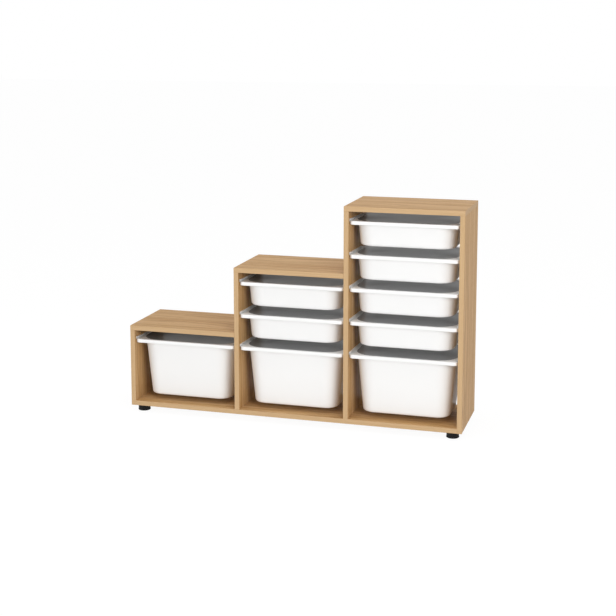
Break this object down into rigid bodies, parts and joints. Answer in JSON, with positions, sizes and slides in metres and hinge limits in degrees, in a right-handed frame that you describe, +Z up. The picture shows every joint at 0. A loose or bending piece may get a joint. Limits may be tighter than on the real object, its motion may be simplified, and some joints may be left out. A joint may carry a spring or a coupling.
{
  "type": "storage shelf",
  "caption": "Stepped open-backed storage shelf of oak-effect board whose bays hold white pull-out boxes with dark grey lids, hung by their rims on runners.",
  "frame": {"origin": "on the floor, under the middle of the shelf's box", "axes": "+Z up, -Y to the front, +X along the shelf towards its high end"},
  "size_m": [1.351, 0.31, 0.876],
  "materials": {
    "oak_board": "satin oak-effect foil",
    "box_white": "satin moulded",
    "lid_grey": "fine matt moulded",
    "runner_white": "satin moulded",
    "foot_black": "matt moulded",
    "beech_dowel": "plain",
    "zinc": "zinc plated"
  },
  "bodies": {
    "shelf": {"side_left": "oak_board", "divider_low": "oak_board", "divider_high": "oak_board", "side_right": "oak_board", "bottom_board": "oak_board", "top_low": "oak_board", "top_mid": "oak_board", "top_high": "oak_board", "runners_low_1": "runner_white", "runners_mid_1": "runner_white", "runners_mid_2": "runner_white", "runners_mid_3": "runner_white", "runners_high_1": "runner_white", "runners_high_2": "runner_white", "runners_high_3": "runner_white", "runners_high_4": "runner_white", "runners_high_5": "runner_white", "foot_front_left": "foot_black", "foot_front_right": "foot_black", "foot_back_left": "foot_black", "foot_back_right": "foot_black", "dowels": "beech_dowel", "cam_bolts": "zinc", "cam_locks": "zinc", "base_screws": "zinc", "runner_screws": "zinc", "foot_screws": "zinc"},
    "box_low_1_body": {"box_low_1": "box_white"},
    "lid_low_1_body": {"lid_low_1": "lid_grey"},
    "box_mid_1_body": {"box_mid_1": "box_white"},
    "lid_mid_1_body": {"lid_mid_1": "lid_grey"},
    "box_mid_2_body": {"box_mid_2": "box_white"},
    "lid_mid_2_body": {"lid_mid_2": "lid_grey"},
    "box_mid_3_body": {"box_mid_3": "box_white"},
    "lid_mid_3_body": {"lid_mid_3": "lid_grey"},
    "box_high_1_body": {"box_high_1": "box_white"},
    "lid_high_1_body": {"lid_high_1": "lid_grey"},
    "box_high_2_body": {"box_high_2": "box_white"},
    "lid_high_2_body": {"lid_high_2": "lid_grey"},
    "box_high_3_body": {"box_high_3": "box_white"},
    "lid_high_3_body": {"lid_high_3": "lid_grey"},
    "box_high_4_body": {"box_high_4": "box_white"},
    "lid_high_4_body": {"lid_high_4": "lid_grey"},
    "box_high_5_body": {"box_high_5": "box_white"},
    "lid_high_5_body": {"lid_high_5": "lid_grey"}
  },
  "joints": [
    {"name": "slide_box_low_1", "type": "slide", "parent": "shelf", "child": "box_low_1_body", "axis": [0, -1, 0], "range_m": [0, 0.2]},
    {"name": "lift_lid_low_1", "type": "slide", "parent": "box_low_1_body", "child": "lid_low_1_body", "axis": [0, 0, 1], "range_m": [0, 0.02]},
    {"name": "slide_box_mid_1", "type": "slide", "parent": "shelf", "child": "box_mid_1_body", "axis": [0, -1, 0], "range_m": [0, 0.2]},
    {"name": "lift_lid_mid_1", "type": "slide", "parent": "box_mid_1_body", "child": "lid_mid_1_body", "axis": [0, 0, 1], "range_m": [0, 0.02]},
    {"name": "slide_box_mid_2", "type": "slide", "parent": "shelf", "child": "box_mid_2_body", "axis": [0, -1, 0], "range_m": [0, 0.2]},
    {"name": "lift_lid_mid_2", "type": "slide", "parent": "box_mid_2_body", "child": "lid_mid_2_body", "axis": [0, 0, 1], "range_m": [0, 0.02]},
    {"name": "slide_box_mid_3", "type": "slide", "parent": "shelf", "child": "box_mid_3_body", "axis": [0, -1, 0], "range_m": [0, 0.2]},
    {"name": "lift_lid_mid_3", "type": "slide", "parent": "box_mid_3_body", "child": "lid_mid_3_body", "axis": [0, 0, 1], "range_m": [0, 0.02]},
    {"name": "slide_box_high_1", "type": "slide", "parent": "shelf", "child": "box_high_1_body", "axis": [0, -1, 0], "range_m": [0, 0.2]},
    {"name": "lift_lid_high_1", "type": "slide", "parent": "box_high_1_body", "child": "lid_high_1_body", "axis": [0, 0, 1], "range_m": [0, 0.02]},
    {"name": "slide_box_high_2", "type": "slide", "parent": "shelf", "child": "box_high_2_body", "axis": [0, -1, 0], "range_m": [0, 0.2]},
    {"name": "lift_lid_high_2", "type": "slide", "parent": "box_high_2_body", "child": "lid_high_2_body", "axis": [0, 0, 1], "range_m": [0, 0.02]},
    {"name": "slide_box_high_3", "type": "slide", "parent": "shelf", "child": "box_high_3_body", "axis": [0, -1, 0], "range_m": [0, 0.2]},
    {"name": "lift_lid_high_3", "type": "slide", "parent": "box_high_3_body", "child": "lid_high_3_body", "axis": [0, 0, 1], "range_m": [0, 0.02]},
    {"name": "slide_box_high_4", "type": "slide", "parent": "shelf", "child": "box_high_4_body", "axis": [0, -1, 0], "range_m": [0, 0.2]},
    {"name": "lift_lid_high_4", "type": "slide", "parent": "box_high_4_body", "child": "lid_high_4_body", "axis": [0, 0, 1], "range_m": [0, 0.02]},
    {"name": "slide_box_high_5", "type": "slide", "parent": "shelf", "child": "box_high_5_body", "axis": [0, -1, 0], "range_m": [0, 0.2]},
    {"name": "lift_lid_high_5", "type": "slide", "parent": "box_high_5_body", "child": "lid_high_5_body", "axis": [0, 0, 1], "range_m": [0, 0.02]}
  ]
}
